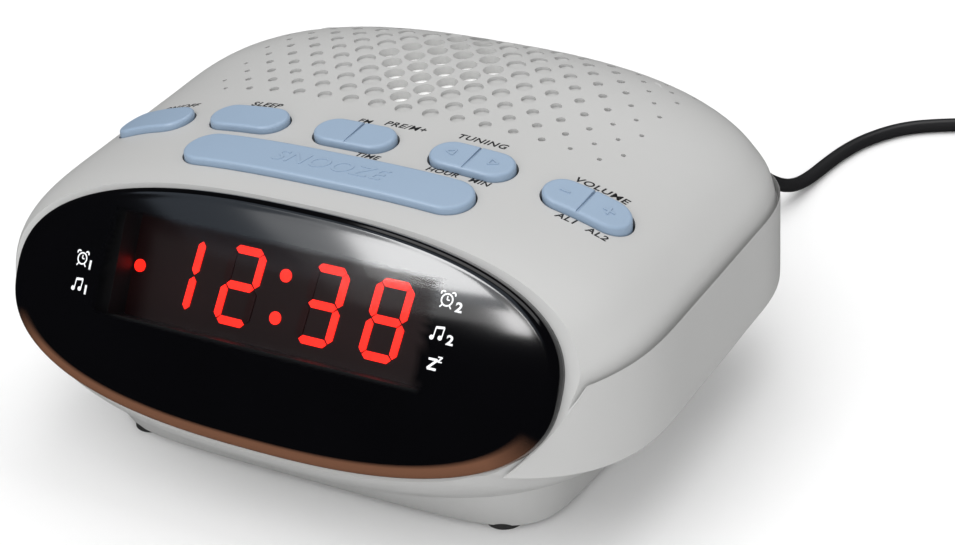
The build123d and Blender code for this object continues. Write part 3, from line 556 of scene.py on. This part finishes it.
# ------------------------------------------------------------------ dust cloth, stretched up against the roof
def cloth_dome():
    cx, cy, R0 = -4.0, 93.0, 24.0
    verts, faces = [], []
    n, rings = 72, 24
    for k in range(rings + 1):
        r = R0 * k / rings
        for i in range(n):
            th = 2 * math.pi * i / n
            x, y = cx + r * math.cos(th), cy + r * math.sin(th)
            top = top_z(x, y) - 2.45
            e = ease((r - 0.86 * R0) / (0.14 * R0))
            verts.append(M(x, y, top * (1 - e) + 72.6 * e))
    for k in range(rings):
        for i in range(n):
            j = (i + 1) % n
            faces.append((k * n + i, (k + 1) * n + i, (k + 1) * n + j, k * n + j))
    ob = new_mesh("speaker_dust_cloth", verts, faces, m_cloth)
    bm = bmesh.new()
    bm.from_mesh(ob.data)
    bmesh.ops.remove_doubles(bm, verts=bm.verts, dist=1e-7)
    bmesh.ops.solidify(bm, geom=bm.faces[:], thickness=0.0003)
    bm.to_mesh(ob.data)
    bm.free()
    return ob


cl = cloth_dome()
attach(cl, "root")
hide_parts("speaker_cloth")

# ------------------------------------------------------------------ lit segments
DIG_X, DIG_Y, DIG_W, DIG_H, SLANT, SEG, MOD_Z = (-40.1, -21.7, 2.8, 21.2), -1.7, 8.7, 18.4, 0.102, 2.05, -6.0


def seg_bar(p0, p1):
    (x0, y0), (x1, y1) = p0, p1
    L = math.hypot(x1 - x0, y1 - y0)
    ux, uy = (x1 - x0) / L, (y1 - y0) / L
    g, h = 0.3, SEG / 2
    out = []
    for a, b in ((g, 0), (g + h, h), (L - g - h, h), (L - g, 0), (L - g - h, -h), (g + h, -h)):
        out.append((x0 + ux * a - uy * b, y0 + uy * a + ux * b))
    return [out]


def digits(shown):
    polys = []
    for x, on in zip(DIG_X, ("bc", "abged", "abgcd", "abcdefg")):
        for sname in "abcdefg":
            if (sname in on) != shown or (x == DIG_X[0] and sname not in "bc"):
                continue
            (a, b), (c, d) = {"a": ((0, 1), (1, 1)), "b": ((1, 1), (1, .5)), "c": ((1, .5), (1, 0)), "d": ((0, 0), (1, 0)),
                              "e": ((0, .5), (0, 0)), "f": ((0, 1), (0, .5)), "g": ((0, .5), (1, .5))}[sname]
            polys += seg_bar((x + a * DIG_W + SLANT * b * DIG_H, DIG_Y + b * DIG_H), (x + c * DIG_W + SLANT * d * DIG_H, DIG_Y + d * DIG_H))
    if shown:
        for u, v in ((-3.84, 12.72), (-4.6, 1.81), (-47.3, 6.85)):
            polys += disc(u, v, 1.65, 28)
    return polys


def display_place(u, v, h):
    return on_face(u, v, MOD_Z + h)


for nm, shown, mt, node in (("lit_segments", True, m_led, "led_digits"), ("unlit_segments", False, m_off, "dark_segments")):
    ob = drape(nm, bm_polys(digits(shown)), display_place, mt, "root", 0.22, 0.05)
    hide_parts(node)

# ------------------------------------------------------------------ floor and light
me = bpy.data.meshes.new("floor")
me.from_pydata([(-6, -6, 0), (6, -6, 0), (6, 6, 0), (-6, 6, 0)], [], [(0, 1, 2, 3)])
floor = bpy.data.objects.new("floor", me)
bpy.context.scene.collection.objects.link(floor)
m_floor = moulded("floor_paint", (0.86, 0.86, 0.86), 0.6, 0.02, 2.0, 0.005)
me.materials.append(m_floor)
floor.visible_glossy = False

world = bpy.data.worlds.new("world")
bpy.context.scene.world = world
world.use_nodes = True
world.node_tree.nodes["Background"].inputs["Color"].default_value = (1.0, 1.0, 1.0, 1)
wn, wl = world.node_tree.nodes, world.node_tree.links
lp = wn.new("ShaderNodeLightPath")          # black cards keep the room out of the reflections
wmr = wn.new("ShaderNodeMapRange")
wmr.inputs["To Min"].default_value = 0.70
wmr.inputs["To Max"].default_value = 0.025
wl.new(lp.outputs["Is Glossy Ray"], wmr.inputs["Value"])
wl.new(wmr.outputs["Result"], wn["Background"].inputs["Strength"])


def area(name, loc, target, size, power, size_y=None):
    li = bpy.data.lights.new(name, "AREA")
    li.energy = power
    li.shape = "RECTANGLE"
    li.size = size
    li.size_y = size_y or size
    ob = bpy.data.objects.new(name, li)
    bpy.context.scene.collection.objects.link(ob)
    ob.location = loc
    d = Vector(target) - Vector(loc)
    ob.rotation_euler = d.to_track_quat("-Z", "Y").to_euler()
    return ob


sun = bpy.data.lights.new("overhead", "SUN")
sun.energy = 1.08
sun.angle = math.radians(60)
sun_ob = bpy.data.objects.new("overhead", sun)
bpy.context.scene.collection.objects.link(sun_ob)
sun_ob.rotation_euler = Vector((0.15, 0.45, -1.0)).to_track_quat("-Z", "Y").to_euler()
sun_ob.visible_glossy = False
for nm, loc, sx, sy, power in (("softbox", (-0.385, -0.665, 0.9), 0.24, 0.30, 4.2), ("softbox_halo", (-0.42, -0.80, 0.905), 0.42, 0.62, 2.2),
                               ("rim_strip", (-0.30, -1.10, 0.95), 0.05, 0.25, 1.0)):
    a = area(nm, loc, (0, 0, 0.05), sx, power, sy)
    a.rotation_euler = (0, 0, 0)
    a.visible_diffuse = False
card = area("sky_card", (-0.42, -0.52, 0.93), (0, 0, 0.05), 0.95, 2.6, 0.85)
card.rotation_euler = (0, 0, 0)
card.visible_diffuse = False
card.data.color = (0.72, 0.84, 1.0)
fill = bpy.data.lights.new("fill", "SUN")
fill.energy = 1.7
fill.angle = math.radians(60)
fill_ob = bpy.data.objects.new("fill", fill)
bpy.context.scene.collection.objects.link(fill_ob)
fill_ob.rotation_euler = Vector((-0.42, 0.9, -0.14)).to_track_quat("-Z", "Y").to_euler()
fill_ob.visible_glossy = False
over = area("sheen", (0.0, 0.5, 1.2), (0, 0, 0.05), 1.2, 5.0, 0.8)

bpy.context.scene.view_settings.view_transform = "Standard"
